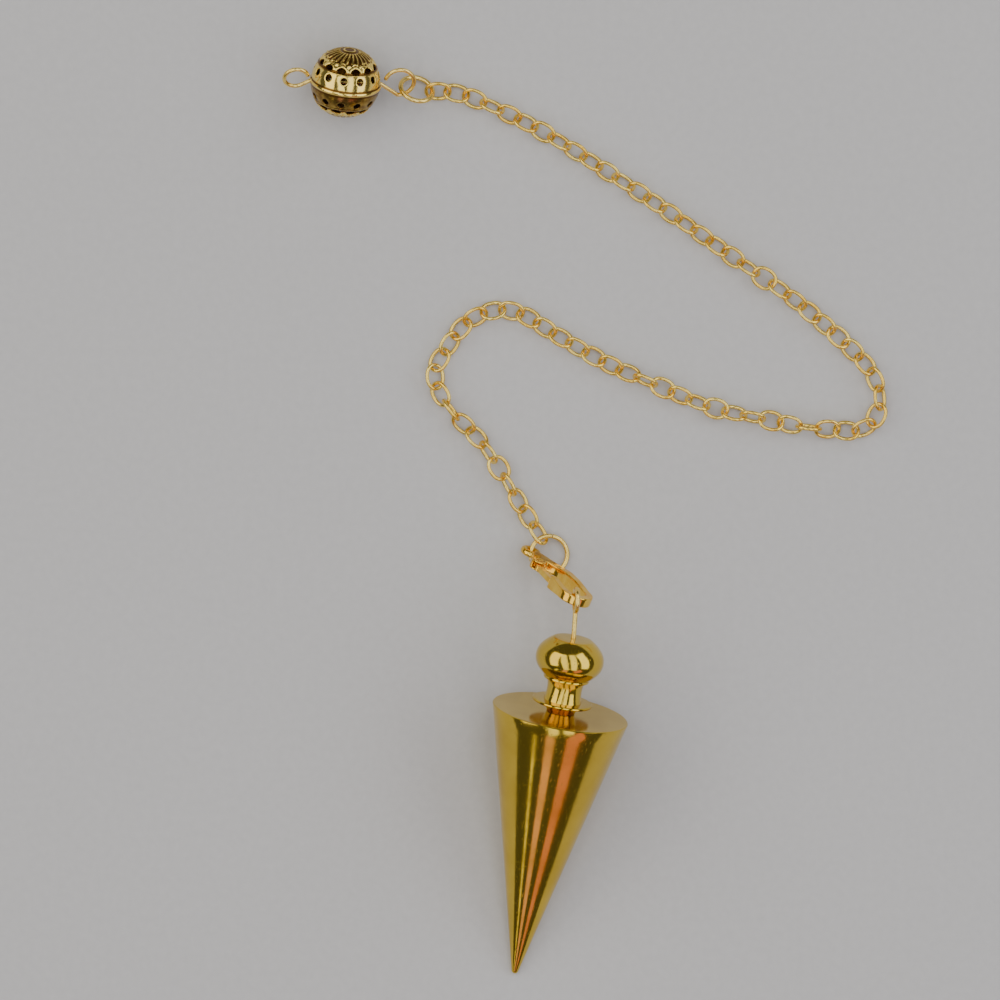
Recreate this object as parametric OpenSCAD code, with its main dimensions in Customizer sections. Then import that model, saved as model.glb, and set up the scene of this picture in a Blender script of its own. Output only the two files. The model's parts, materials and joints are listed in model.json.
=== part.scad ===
// A dowsing pendulum in brass, as it lies on a table: a pointed cone bob with a
// turned head, a lobster clasp hooked in the head's wire eye, a cable chain laid in
// a wide S, and a hollow pierced ball that is held between the fingers.
// Millimetres. X to the right, Y away along the table, Z up from the table top.

/* [Cone] */
// Radius of the cone's flat face
cone_r = 9.8; // [9.3:0.1:10.3]
// Length from the tip to the face
cone_l = 39.1; // [36.5:0.1:41.5]
// Radius of the rounded tip
tip_r = 0.5; // [0.35:0.05:0.65]
// Width of the small bevel round the face
rim_bevel = 0.2; // [0.1:0.05:0.4]

/* [Head] */
// Radius of the thin flange above the face
flange_r = 4.3; // [3.8:0.1:4.8]
// Radius of the neck where it is slimmest
neck_r = 2.5; // [2.2:0.1:2.8]
// Radius of the bead under the ball
bead_r = 3.3; // [3:0.1:3.6]
// Radius of the flattened ball
ball_r = 4.9; // [4.6:0.1:5.2]
// Half of the flattened ball's height
ball_half_h = 3.7; // [3.4:0.1:4]
// Radius of the flat on top of the ball
ball_flat_r = 2.9; // [2.5:0.1:3.1]
// Radius of the stem that sits in the cone
stem_r = 1.6; // [1.3:0.1:1.9]
// Depth of the stem in the cone
stem_l = 5; // [4:0.5:7]

/* [Wire eye] */
// Thickness of the eye's wire
eye_wire = 0.7; // [0.55:0.05:0.75]
// Outside diameter of the eye's loop
eye_d = 3.8; // [3.6:0.1:4.2]
// Straight wire between the head and the loop
eye_shank = 3.7; // [3.2:0.1:4.2]
// Lean of the loop from upright
eye_lean = 10; // [4:1:14]
// Bend of the wire to the side, above the head
eye_bend = 6; // [2:1:9]

/* [Clasp] */
// Length from the middle of the base ring to the middle of the hook's bend
clasp_l = 13.1; // [12.8:0.1:14.2]
// Width across the hook, outside
clasp_w = 5.2; // [5:0.1:5.6]
// Thickness of the body in its middle
clasp_t = 2; // [1.8:0.05:2.2]
// Thickness of the body at both ends
clasp_end_t = 1.4; // [1.3:0.05:1.5]
// Width of the hook's strand in its bend
hook_w = 1.1; // [1:0.05:1.2]
// Outside diameter of the base ring
base_ring_d = 3.1; // [3:0.05:3.3]
// Thickness of the base ring's wire
base_ring_t = 1; // [0.9:0.05:1.05]
// Thickness of the sprung gate
gate_t = 0.75; // [0.65:0.05:0.8]
// Diameter of the gate's pin
pin_d = 0.6; // [0.5:0.05:0.65]
// Turn of the clasp about its own length, from flat
clasp_roll = 62; // [58:1:70]

/* [Rings] */
// Outside diameter of the ring at the clasp
clasp_ring_d = 6; // [5.7:0.1:6.3]
// Thickness of the wire of the ring at the clasp
clasp_ring_wire = 0.65; // [0.55:0.05:0.7]
// Outside diameter of the ring at the ball
ball_ring_d = 5.4; // [5.2:0.1:5.6]
// Thickness of the wire of the ring at the ball
ball_ring_wire = 0.7; // [0.6:0.05:0.75]
// Width of the saw cut in both rings
ring_cut = 0.15; // [0.1:0.05:0.4]

/* [Chain] */
// Outside length of a link
link_l = 3.84; // [3.8:0.02:3.9]
// Outside width of a link
link_w = 3.15; // [3.1:0.05:3.25]
// Thickness of a link's wire
link_wire = 0.42; // [0.36:0.02:0.42]

/* [Filigree ball] */
// Radius of the pierced ball
bead_ball_r = 5; // [4.8:0.1:5.2]
// Thickness of its shell
shell_t = 0.45; // [0.35:0.05:0.6]
// Diameter of the round holes beside the seam
seam_hole_d = 1; // [0.8:0.05:1.15]
// Length of the leaf shaped holes
leaf_l = 1.35; // [1.15:0.05:1.55]
// Width of the leaf shaped holes
leaf_w = 0.75; // [0.6:0.05:0.9]
// Thickness of the wire through the ball
ball_wire = 0.6; // [0.5:0.05:0.65]
// Outside diameter of the loop that joins the chain
right_loop_d = 4.8; // [4.6:0.1:5]
// Outside diameter of the free loop
left_loop_d = 4; // [3.7:0.1:4.3]

/* [Hidden] */
$fn = 96;
fit = 0.05; // gap all round between a pin and its hole
gap = 0.12; // gap between pieces that hang in one another
past = 0.5; // how far a cutting tool runs past the work

function unit(v) = v / norm(v);
function flat(v) = [v.x, v.y, 0];
// Point on a smooth curve through b and c, with a and d as the points beside them
function curve(a, b, c, d, t) =
    0.5 * (2 * b + (c - a) * t + (2 * a - 5 * b + 4 * c - d) * t * t
    + (3 * b - a - 3 * c + d) * t * t * t);
function at(p, i) = p[max(0, min(len(p) - 1, i))];
function smooth(p, n) = [
    for (i = [0 : len(p) - 2], k = [0 : n - 1])
        curve(at(p, i - 1), p[i], p[i + 1], at(p, i + 2), k / n),
    p[len(p) - 1]];

// Lie of the cone: it touches the table along one side
tip_to_rim = norm([cone_r, cone_l - tip_r]);
cone_angle = atan2(cone_r, cone_l - tip_r) - asin(tip_r / tip_to_rim);
bob_heading = 80.1; // compass direction of the bob, from X
bob_axis = [cos(cone_angle) * cos(bob_heading), cos(cone_angle) * sin(bob_heading),
    sin(cone_angle)];

// Heights on the head, above the face
flange_low = 1.35;
flange_top = 1.8;
bead_low = 4.85;
bead_top = 5.3;
foot_r = 2;
ball_sink = 0.1; // how far the ball sinks into the bead
ball_mid = bead_top + ball_half_h * sqrt(1 - pow(bead_r / ball_r, 2)) - ball_sink;
head_top = ball_mid + ball_half_h * sqrt(1 - pow(ball_flat_r / ball_r, 2));
ball_edge_r = 2.6; // radius of the ball's rounded side
eye_bore_l = 2; // depth of the eye's wire in the head
eye_r = (eye_d - eye_wire) / 2;
eye_foot = 0.3; // the wire stands straight this far out of the head, then it bends
eye_lap = 0.25; // the two straight lengths run into each other at the bend
eye_reach = eye_shank + eye_d / 2 - eye_foot; // from the bend to the loop's middle
eye_up = head_top + eye_foot + eye_reach * cos(eye_bend);
eye_aside = eye_reach * sin(eye_bend);
eye_z = tip_r + (cone_l - tip_r + eye_up) * sin(cone_angle);

// Route of the chain on the table, from the ball to the clasp
route = [
    [-22.2, 59.6], [-18.3, 59.4], [-13.3, 57.5], [-5.9, 53.8], [1.1, 49.5], [8.4, 44.8],
    [15, 40.3], [22.1, 35.3], [29, 30.6], [35.2, 25.5], [39.2, 21.8], [40.9, 19.8],
    [42.1, 17.2], [42.3, 14.3], [41.2, 12.1], [39.3, 11], [37, 11.2], [31.7, 11.6],
    [26.4, 12.6], [18.3, 14.4], [10.6, 17.5], [3.1, 20.8], [-4, 24.8], [-8.6, 27.7],
    [-11.2, 28.5], [-13.9, 28.1], [-16.3, 27], [-18.1, 25.2], [-19.5, 22.9],
    [-21.1, 20.8], [-21.5, 18.4], [-20.4, 16.1], [-18.9, 14], [-17.3, 12],
    [-15.4, 10.4], [-12.2, 5.9], [-9.5, 1.2], [-5.8, -4.6]];
// How far each link is turned about its length, one after the other
link_rolls = [
    40, 35, 35, 60, 40, 45, 35, 55, 45, 50, 40, 55, 40, 45, 40, 50, 45,
    45, 35, 60, 10, 50, 45, 35, 40, 30, 35, 40, 45, 60, 30, 45, 30, 35,
    80, 40, 25, 65, 50, 20, 55, 45, 25, 70, 40, 40, 35, 45, 40, 40, 35,
    35, 35, 40, 35, 40, 35, 35, 40, 80, 40, 40, 65, 20, 70, 40, 40, 55];
path = smooth(route, 8);
steps = [for (i = [0 : len(path) - 2]) norm(path[i + 1] - path[i])];
function runs(i, s) = i == len(steps) ? [s] : concat([s], runs(i + 1, s + steps[i]));
run = runs(0, 0);
path_x = [for (i = [0 : len(path) - 1]) [run[i], path[i].x]];
path_y = [for (i = [0 : len(path) - 1]) [run[i], path[i].y]];
route_l = run[len(path) - 1];
link_play = 0.28; // free play between one link and the next
link_pitch_max = link_l - 2 * link_wire - link_play;
link_count = ceil(route_l / link_pitch_max);
link_pitch = route_l / link_count;
half_long = (link_l - link_wire) / 2;
half_wide = (link_w - link_wire) / 2;
function roll_of(k) =
    (k % 2 == 0 ? 1 : -1) * link_rolls[max(0, min(link_count - 1, k)) % len(link_rolls)];
table_gap = 0.02; // the links lie this far off the table
function lying_z(k) = half_wide * abs(sin(roll_of(k))) + link_wire / 2 + table_gap;
function joint(k) = [
    lookup(k * link_pitch, path_x), lookup(k * link_pitch, path_y),
    max(lying_z(k - 1), lying_z(k))];
joints = [for (k = [0 : link_count]) joint(k)];
// Makes an oval a little squarer than an ellipse
function blunt(t) = sign(t) * pow(abs(t), 0.9);
link_segments = 14;
link_sides = 6;

ring_seat = 0.22; // how far a ring's wire stays inside the joint of its link

// Ring at the clasp: the last link holds it, its far side lies on the table
function flat_dir(a) = [cos(a), sin(a), 0];
end_dir = unit(flat(joints[link_count] - joints[link_count - 1]));
clasp_ring_r = (clasp_ring_d - clasp_ring_wire) / 2;
clasp_ring_hold = 114; // where on the ring the last link sits
clasp_ring_base = 172; // where on the ring the clasp sits
base_r = (base_ring_d - base_ring_t) / 2;
// Tilts of the clasp and its ring follow from the height of the bob's eye
hook_r = (clasp_w - hook_w) / 2;
clasp_heading = -44.5; // compass direction of the clasp
hook_drop = 0.1; // the hook's strand sits this far under the eye's middle
function crest(s) = hook_r * norm([sin(s), sin(clasp_roll) * cos(s)]);
function base_z(s) = base_r * norm([sin(s), sin(clasp_roll) * cos(s)]) + base_ring_t / 2;
function slope(s, n) = n == 0 ? s :
    slope(asin((eye_z - hook_drop - base_z(s) - crest(s)) / clasp_l), n - 1);
clasp_slope = slope(43, 6);
clasp_ring_tilt = asin((base_z(clasp_slope) - clasp_ring_wire / 2) / (2 * clasp_ring_r));
clasp_ring_z = clasp_ring_wire / 2 + clasp_ring_r * sin(clasp_ring_tilt);
clasp_ring_x = [cos(clasp_ring_base) * cos(clasp_ring_tilt),
    sin(clasp_ring_base) * cos(clasp_ring_tilt), sin(clasp_ring_tilt)];
clasp_ring_y = flat_dir(clasp_ring_base + 90);
clasp_ring_mid = flat(joints[link_count])
    - (clasp_ring_wire / 2 + ring_seat) * end_dir
    - clasp_ring_r * flat_dir(clasp_ring_hold)
    + [0, 0, clasp_ring_z];

// Clasp: x runs from the base ring to the hook, y towards the gate
clasp_x = [cos(clasp_slope) * cos(clasp_heading), cos(clasp_slope) * sin(clasp_heading),
    sin(clasp_slope)];
clasp_side = flat_dir(clasp_heading - 90);
clasp_y = cos(clasp_roll) * clasp_side + sin(clasp_roll) * unit(
    [-clasp_x.z * cos(clasp_heading), -clasp_x.z * sin(clasp_heading), cos(clasp_slope)]);
clasp_z = cross(clasp_x, clasp_y);
clasp_base = clasp_ring_mid + clasp_ring_r * clasp_ring_x;
crest_angle = atan2(clasp_y.z, clasp_x.z);
hang_back = 14; // the bob's eye hangs this far before the crest, in degrees
hang_angle = crest_angle - hang_back;
hang_point = clasp_base + clasp_l * clasp_x
    + hook_r * (cos(hang_angle) * clasp_x + sin(hang_angle) * clasp_y);

// Bob: its wire eye hangs on the hook, and the cone lies behind it
eye_point = hang_point + [0, 0, eye_z - hang_point.z];
tip_point = eye_point - (cone_l - tip_r + eye_up) * bob_axis
    - eye_aside * flat_dir(bob_heading + 90);

// Ring at the ball
start_dir = unit(flat(joints[1] - joints[0]));
ball_ring_r = (ball_ring_d - ball_ring_wire) / 2;
ball_ring_down = 20; // slope down towards the chain
ball_ring_lean = 42; // lean up towards the viewer's side
ball_ring_hold = -8; // where on the ring the first link sits
ball_ring_x = [cos(ball_ring_down), 0, -sin(ball_ring_down)];
ball_ring_y = unit(cross([sin(ball_ring_down) * cos(ball_ring_lean), sin(ball_ring_lean),
    cos(ball_ring_down) * cos(ball_ring_lean)], ball_ring_x));
ball_ring_z = cross(ball_ring_x, ball_ring_y);
ball_ring_h = ball_ring_r * norm([ball_ring_x.z, ball_ring_y.z]) + ball_ring_wire / 2;
ball_ring_mid = flat(joints[0]) + (ball_ring_wire / 2 + ring_seat) * start_dir
    - ball_ring_r * flat(cos(ball_ring_hold) * ball_ring_x + sin(ball_ring_hold) * ball_ring_y)
    + [0, 0, ball_ring_h];

// Pierced ball: rests on the table, its wire slopes down towards the chain
ball_wire_slope = 12;
ball_wire_yaw = -2.5;
pole_lean = 24; // the pole leans this far up from the table's plane
right_loop_r = (right_loop_d - ball_wire) / 2;
left_loop_r = (left_loop_d - ball_wire) / 2;
right_loop_lean = 34;
left_loop_lean = 48;
right_neck = 0.7; // free wire between the ball and the loop
left_neck = 0.55;
right_loop_x = bead_ball_r + right_neck + right_loop_r;
left_loop_x = bead_ball_r + left_neck + left_loop_r;
loop_rise = 0.42; // the loops' middles lie this far beside the wire's line
loops_apart = 2.5; // from the middle of the ball's loop to the middle of the ring
ball_beside = 0.92; // the ball lies this far behind the middle of the ring
bead_ball_pos = [
    ball_ring_mid.x - loops_apart - right_loop_x * cos(ball_wire_slope),
    ball_ring_mid.y + ball_beside, bead_ball_r];

// The middle of the whole outline is put at the origin
left_end = bead_ball_pos.x - (left_loop_x + left_loop_d / 2) * cos(ball_wire_slope);
link_tuck = 0.2; // the link at the bend leans, so it reaches less far out
right_end = max([for (p = route) p.x]) + link_w / 2 - link_tuck;
far_end = bead_ball_pos.y + bead_ball_r;
near_end = tip_point.y - tip_r;
frame_shift = [-(left_end + right_end) / 2, -(far_end + near_end) / 2, 0];

// Clasp, seen flat: the gate turns on a pin near the base ring
pin_at = [4, 1.15];
cheek_r = 1.05;
gate_eye_r = 0.65;
slot_l = 4;
slot_depth = 1.35; // below the pin
thumb_r = 0.45; // small bump to push the gate with
thumb_at = [pin_at.x + 1.5, pin_at.y + 0.75];
hook_point_x = 9.7;
point_angle = 35; // slant of the hook's point

// Holes of the pierced ball, the same in both halves
seam_holes = 12;
seam_hole_lat = 22; // degrees from the seam
leaves = 12;
row_bar = 0.61; // metal left between the round holes and the leaves
leaf_lat = seam_hole_lat
    + (seam_hole_d / 2 + row_bar + leaf_w / 2) * 180 / (PI * bead_ball_r);
leaf_start = 7; // where round the ball the first leaf sits
pole_holes = 6;
pole_hole_d = 0.7;
pole_hole_lat = 70;
// Half of a hole's width, in degrees round the ball at the inside of the shell
function half_span(wide, lat) = asin(wide / 2 / ((bead_ball_r - shell_t) * cos(lat)));
// Meridian halfway between a round hole and the next leaf
plain_line = (1.5 * 360 / seam_holes + half_span(seam_hole_d, seam_hole_lat)
    + leaf_start + 2 * 360 / leaves - half_span(leaf_l, leaf_lat)) / 2;
band_r = 0.28; // rounding of the raised seam
band_sink = 0.1;

// Puts work drawn at the origin onto a point, turned to three directions
module in_frame(p, x, y, z) {
    multmatrix([
        [x.x, y.x, z.x, p.x],
        [x.y, y.y, z.y, p.y],
        [x.z, y.z, z.z, p.z]])
        children();
}

// Tube along a list of points, closed on itself or capped
function tube_dir(p, i, closed) =
    closed ? unit(p[(i + 1) % len(p)] - p[(i + len(p) - 1) % len(p)])
    : unit(at(p, i + 1) - at(p, i - 1));
function tube_points(p, r, sides, side, closed) = [
    for (i = [0 : len(p) - 1])
        let (d = tube_dir(p, i, closed), u = unit(side - (side * d) * d), v = cross(d, u))
            for (k = [0 : sides - 1])
                let (a = 360 * k / sides)
                    p[i] + r * (cos(a) * u + sin(a) * v)];
module tube(p, r, sides, side, closed = false) {
    n = len(p);
    // The flats of the tube lie as far out as the round wire on average
    rr = r / sqrt(cos(180 / sides));
    walls = [
        for (i = [0 : (closed ? n - 1 : n - 2)], k = [0 : sides - 1])
            let (j = (i + 1) % n, m = (k + 1) % sides)
                [i * sides + k, i * sides + m, j * sides + m, j * sides + k]];
    caps = closed ? [] : [
        [for (k = [sides - 1 : -1 : 0]) k],
        [for (k = [0 : sides - 1]) (n - 1) * sides + k]];
    polyhedron(tube_points(p, rr, sides, side, closed), concat(walls, caps), convexity = 6);
}

module in_bob() {
    translate(tip_point)
        rotate([0, 90 - cone_angle, bob_heading])
            translate([0, 0, -tip_r])
                children();
}

module cone_bob() {
    color("goldenrod") translate(frame_shift) in_bob()
        difference() {
            rotate_extrude() {
                intersection() {
                    translate([0, tip_r]) circle(tip_r);
                    square([cone_r, cone_l]);
                }
                polygon([
                    [0, tip_r - tip_r * sin(cone_angle)],
                    [tip_r * cos(cone_angle), tip_r - tip_r * sin(cone_angle)],
                    [cone_r - rim_bevel * tan(cone_angle), cone_l - rim_bevel],
                    [cone_r - rim_bevel, cone_l],
                    [0, cone_l]]);
            }
            translate([0, 0, cone_l - stem_l - fit])
                cylinder(r = stem_r + fit, h = stem_l + fit + past);
        }
}

// Half outline of a flattened ball, made of arcs
module ball_outline() {
    side = ball_r - ball_edge_r;
    rise = ball_half_h - ball_edge_r;
    k = (side * side - rise * rise) / (2 * rise);
    big_r = ball_half_h + k;
    intersection() {
        union() {
            translate([side, 0]) circle(ball_edge_r);
            intersection() {
                translate([0, -k]) circle(big_r);
                translate([0, k]) circle(big_r);
                translate([0, -ball_half_h])
                    square([big_r * side / (big_r - ball_edge_r), 2 * ball_half_h]);
            }
        }
        translate([0, bead_top - ball_mid])
            square([ball_r, head_top - bead_top]);
    }
}

module bob_head() {
    neck_cove = 5.2; // radius of the neck's hollow curve
    color("gold") translate(frame_shift) in_bob()
        translate([0, 0, cone_l])
            difference() {
                rotate_extrude() {
                    translate([0, -stem_l]) square([stem_r, stem_l + past]);
                    polygon([
                        [0, fit], [foot_r, fit], [neck_r, flange_low],
                        [neck_r, flange_top], [0, flange_top]]);
                    translate([0, flange_low]) square([flange_r, flange_top - flange_low]);
                    difference() {
                        translate([0, flange_top]) square([bead_r, bead_low - flange_top]);
                        translate([neck_r + neck_cove, (flange_top + bead_low) / 2])
                            circle(neck_cove);
                    }
                    translate([0, bead_low]) square([bead_r, bead_top - bead_low]);
                    translate([0, ball_mid]) ball_outline();
                }
                translate([0, 0, head_top - eye_bore_l])
                    cylinder(d = eye_wire + 2 * fit, h = eye_bore_l + past);
            }
}

module bob_eye() {
    color("gold") translate(frame_shift) in_bob()
        translate([0, 0, cone_l + head_top]) {
            translate([0, 0, fit - eye_bore_l])
                cylinder(d = eye_wire, h = eye_bore_l + eye_foot + eye_lap / 2 - fit);
            translate([0, eye_aside, eye_up - head_top])
                rotate([-eye_bend, 0, 0]) {
                    translate([0, 0, -eye_reach - eye_lap])
                        cylinder(d = eye_wire, h = eye_reach + eye_lap - eye_r);
                    rotate([0, 0, eye_lean])
                        rotate([90, 0, 0])
                            rotate_extrude() translate([eye_r, 0]) circle(d = eye_wire);
                }
        }
}

module open_ring(r, wire, cut_at) {
    half_cut = asin(ring_cut / 2 / r);
    rotate([0, 0, cut_at + half_cut])
        rotate_extrude(angle = 360 - 2 * half_cut)
            translate([r, 0]) circle(d = wire);
}

module clasp_ring() {
    color("gold") translate(frame_shift)
        in_frame(clasp_ring_mid, clasp_ring_x, clasp_ring_y, cross(clasp_ring_x, clasp_ring_y))
            open_ring(clasp_ring_r, clasp_ring_wire, -92);
}

module ball_ring() {
    color("gold") translate(frame_shift)
        in_frame(ball_ring_mid, ball_ring_x, ball_ring_y, ball_ring_z)
            open_ring(ball_ring_r, ball_ring_wire, 90);
}

module chain() {
    oval = [for (i = [0 : link_segments - 1])
        let (a = 360 * i / link_segments)
            [half_long * blunt(cos(a)), half_wide * blunt(sin(a)), 0]];
    color("khaki") translate(frame_shift)
        for (k = [0 : link_count - 1]) {
            a = joints[k];
            d = joints[k + 1] - a;
            translate(a + d / 2)
                rotate([roll_of(k), -asin(d.z / norm(d)), atan2(d.y, d.x)])
                    tube(oval, link_wire / 2, link_sides, [0, 0, 1], closed = true);
        }
}

// Flat strip along rows of [x, y, half width]
function strip_side(rows, s) = [
    for (i = [0 : len(rows) - 1])
        let (d = unit([at(rows, i + 1).x - at(rows, i - 1).x,
            at(rows, i + 1).y - at(rows, i - 1).y]))
            [rows[i].x - s * rows[i][2] * d.y, rows[i].y + s * rows[i][2] * d.x]];
module strip(rows) {
    back = strip_side(rows, -1);
    polygon(concat(strip_side(rows, 1), [for (i = [len(back) - 1 : -1 : 0]) back[i]]));
}

module in_clasp() {
    in_frame(clasp_base, clasp_x, clasp_y, clasp_z)
        children();
}

// Flat outline of the clasp's body: spine, bend and the hook's point
module clasp_outline() {
    strip(smooth([
        [1.05, 0, 0.5], [2.2, -0.25, 0.8], [3.8, -0.95, 0.75], [5.8, -1.75, 0.68],
        [8.2, -hook_r + 0.12, 0.62], [10.6, -hook_r, hook_w / 2],
        [clasp_l + fit, -hook_r, hook_w / 2]], 5));
    intersection() {
        difference() {
            translate([clasp_l, 0]) circle(hook_r + hook_w / 2);
            translate([clasp_l, 0]) circle(hook_r - hook_w / 2);
        }
        translate([clasp_l, -clasp_w]) square(2 * clasp_w);
    }
    difference() {
        strip([
            [hook_point_x - 0.4, hook_r - 0.1, 0.45], [hook_point_x + 1.5, hook_r, 0.52],
            [clasp_l + fit, hook_r, hook_w / 2]]);
        point_cut(0);
    }
    // Cheeks that carry the gate's pin
    translate(pin_at) circle(cheek_r);
    polygon([
        [1.1, -0.5], [1.1, 0.5], [pin_at.x - 0.65, pin_at.y + 0.82],
        [pin_at.x + 0.3, pin_at.y - 1], [4.2, -1.2], [2.4, -0.6]]);
}

// Side outline of the body: fullest beside the gate, slimmer at the base and the hook
module clasp_side() {
    full = clasp_t / 2;
    slim = clasp_end_t / 2;
    upper = [[-past, slim], [pin_at.x + cheek_r + 0.2, slim], [7.4, full], [9.8, full],
        [clasp_l - 0.4, slim], [clasp_l + clasp_w, slim]];
    polygon(concat(upper, [for (i = [len(upper) - 1 : -1 : 0]) [upper[i].x, -upper[i].y]]));
}

// Slanted meeting of the gate's end and the hook's point, which stops the gate
module point_cut(back) {
    translate([hook_point_x + back, hook_r])
        rotate(point_angle)
            translate([-10, -10]) square([10, 20]);
}

module clasp_body() {
    color("gold") translate(frame_shift) in_clasp()
        difference() {
            union() {
                intersection() {
                    translate([0, 0, -clasp_t])
                        linear_extrude(2 * clasp_t) clasp_outline();
                    rotate([90, 0, 0])
                        linear_extrude(3 * clasp_w, center = true) clasp_side();
                }
                rotate_extrude() translate([base_r, 0]) circle(d = base_ring_t);
            }
            // Slot for the gate and the hole for its pin
            translate([0, 0, -gate_t / 2 - fit])
                linear_extrude(gate_t + 2 * fit) {
                    translate(pin_at) circle(gate_eye_r + gap);
                    translate([pin_at.x, pin_at.y - slot_depth]) square([slot_l, slot_l]);
                }
            translate([pin_at.x, pin_at.y, -clasp_t])
                cylinder(d = pin_d + 2 * fit, h = 2 * clasp_t);
        }
}

module gate_plate() {
    translate([0, 0, -gate_t / 2])
        linear_extrude(gate_t)
            children();
}

module clasp_gate() {
    color("gold") translate(frame_shift) in_clasp()
        difference() {
            union() {
                gate_plate() translate(pin_at) circle(gate_eye_r);
                gate_plate() intersection() {
                    strip(smooth([
                        [pin_at.x + 0.2, pin_at.y + 0.05, 0.5],
                        [6.2, 1.7, 0.45],
                        [hook_point_x + 1, hook_r - 0.1, 0.42]], 5));
                    point_cut(-gap);
                }
                gate_plate() translate(thumb_at) circle(thumb_r);
            }
            translate([pin_at.x, pin_at.y, -clasp_t])
                cylinder(d = pin_d + 2 * fit, h = 2 * clasp_t);
        }
}

module clasp_pin() {
    color("goldenrod") translate(frame_shift) in_clasp()
        translate([pin_at.x, pin_at.y, -clasp_end_t / 2])
            cylinder(d = pin_d, h = clasp_end_t);
}

// Wire that runs through the pierced ball and is turned into a loop at both ends
module ball_loops() {
    turned_in = 20; // angle between points on the loops
    loop_point = function (mid_x, r, lean, a)
        [mid_x + r * cos(a), (loop_rise + r * sin(a)) * cos(lean),
            (loop_rise + r * sin(a)) * sin(lean)];
    left = [for (a = [-340 : turned_in : -40])
        loop_point(-left_loop_x, left_loop_r, left_loop_lean, a)];
    right = [for (a = [-90 : turned_in : 170])
        loop_point(right_loop_x, right_loop_r, right_loop_lean, a)];
    through = [[-bead_ball_r - 0.1, 0, 0], [bead_ball_r + 0.1, 0, 0]];
    side_lean = (right_loop_lean + left_loop_lean) / 2;
    color("gold") translate(frame_shift)
        translate(bead_ball_pos) rotate([0, ball_wire_slope, ball_wire_yaw])
            tube(concat(left, through, right), ball_wire / 2, 8,
                [0, -sin(side_lean), cos(side_lean)]);
}

module radial(az, lat) {
    rotate([0, 0, az])
        rotate([0, 90 - lat, 0])
            translate([0, 0, bead_ball_r - 3 * shell_t])
                children();
}

module leaf() {
    bow = (leaf_l * leaf_l + leaf_w * leaf_w) / (4 * leaf_w);
    linear_extrude(4 * shell_t + past)
        intersection() {
            translate([bow - leaf_w / 2, 0]) circle(bow);
            translate([leaf_w / 2 - bow, 0]) circle(bow);
        }
}

module filigree_ball() {
    color("darkgoldenrod") translate(frame_shift)
        translate(bead_ball_pos)
            rotate([0, ball_wire_slope, ball_wire_yaw])
                rotate([pole_lean - 90, 0, 0])
                    difference() {
                        rotate([0, 0, plain_line])
                            difference() {
                                union() {
                                    sphere(bead_ball_r);
                                    rotate_extrude()
                                        translate([bead_ball_r - band_sink, 0]) circle(band_r);
                                }
                                sphere(bead_ball_r - shell_t);
                            }
                        for (half = [-1, 1]) {
                            for (i = [0 : seam_holes - 1])
                                radial((i + 0.5) * 360 / seam_holes, half * seam_hole_lat)
                                    cylinder(d = seam_hole_d, h = 4 * shell_t + past);
                            for (i = [0 : leaves - 1])
                                radial(i * 360 / leaves + leaf_start, half * leaf_lat)
                                    leaf();
                            for (i = [0 : pole_holes - 1])
                                radial((i - 0.5) * 360 / pole_holes + plain_line, half * pole_hole_lat)
                                    cylinder(d = pole_hole_d, h = 4 * shell_t + past);
                        }
                        rotate([0, 90, 0])
                            cylinder(d = ball_wire + 2 * gap, h = 3 * bead_ball_r, center = true);
                    }
}

cone_bob();
bob_head();
bob_eye();
clasp_ring();
chain();
ball_ring();
clasp_body();
clasp_gate();
clasp_pin();
ball_loops();
filigree_ball();
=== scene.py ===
# %% [markdown]
# # A brass pendulum on a table
# The piece is a pointed brass cone with a turned head. A lobster clasp hooks into the head's
# wire eye, a jump ring joins the clasp to a cable chain, and a pierced filigree ball ends
# the chain, to be held between the fingers. Every shape below is built from points in
# millimetres, the unit in which clasps, rings and wire are sold, and is scaled to metres
# when it becomes a mesh.

import json
import math

import bmesh
import bpy
import numpy as np
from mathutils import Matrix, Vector

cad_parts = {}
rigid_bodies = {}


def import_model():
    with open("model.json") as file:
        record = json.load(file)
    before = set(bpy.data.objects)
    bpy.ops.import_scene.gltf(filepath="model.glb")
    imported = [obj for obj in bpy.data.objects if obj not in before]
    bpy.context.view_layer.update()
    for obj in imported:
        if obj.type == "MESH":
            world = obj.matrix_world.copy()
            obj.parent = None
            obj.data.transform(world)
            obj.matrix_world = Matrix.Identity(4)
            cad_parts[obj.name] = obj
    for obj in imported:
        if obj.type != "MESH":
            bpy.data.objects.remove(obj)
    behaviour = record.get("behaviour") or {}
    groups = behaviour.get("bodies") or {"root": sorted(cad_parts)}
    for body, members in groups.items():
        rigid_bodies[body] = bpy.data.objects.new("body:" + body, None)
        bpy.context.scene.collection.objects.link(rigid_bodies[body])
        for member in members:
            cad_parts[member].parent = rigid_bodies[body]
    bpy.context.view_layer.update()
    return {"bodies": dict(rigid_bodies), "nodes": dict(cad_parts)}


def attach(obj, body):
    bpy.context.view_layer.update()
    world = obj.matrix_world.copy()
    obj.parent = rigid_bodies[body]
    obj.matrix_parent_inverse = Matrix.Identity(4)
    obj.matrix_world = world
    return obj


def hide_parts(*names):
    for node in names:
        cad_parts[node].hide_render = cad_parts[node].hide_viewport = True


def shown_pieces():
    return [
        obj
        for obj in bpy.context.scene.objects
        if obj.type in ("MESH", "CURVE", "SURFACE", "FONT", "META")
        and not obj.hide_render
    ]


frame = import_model()
MM = 0.001
print("the model has", len(frame["nodes"]), "nodes:", ", ".join(sorted(frame["nodes"])))


# %% [markdown]
# ## Putting a shape where it belongs
# The model fixes where each piece lies: a starting point and three directions, which are
# the piece's own x, y and z. A shape is drawn round its own zero, where its numbers are
# simple, and then laid along those three directions. The alternative, moving and turning
# objects by hand, would leave the pieces a little off their seats.

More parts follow.
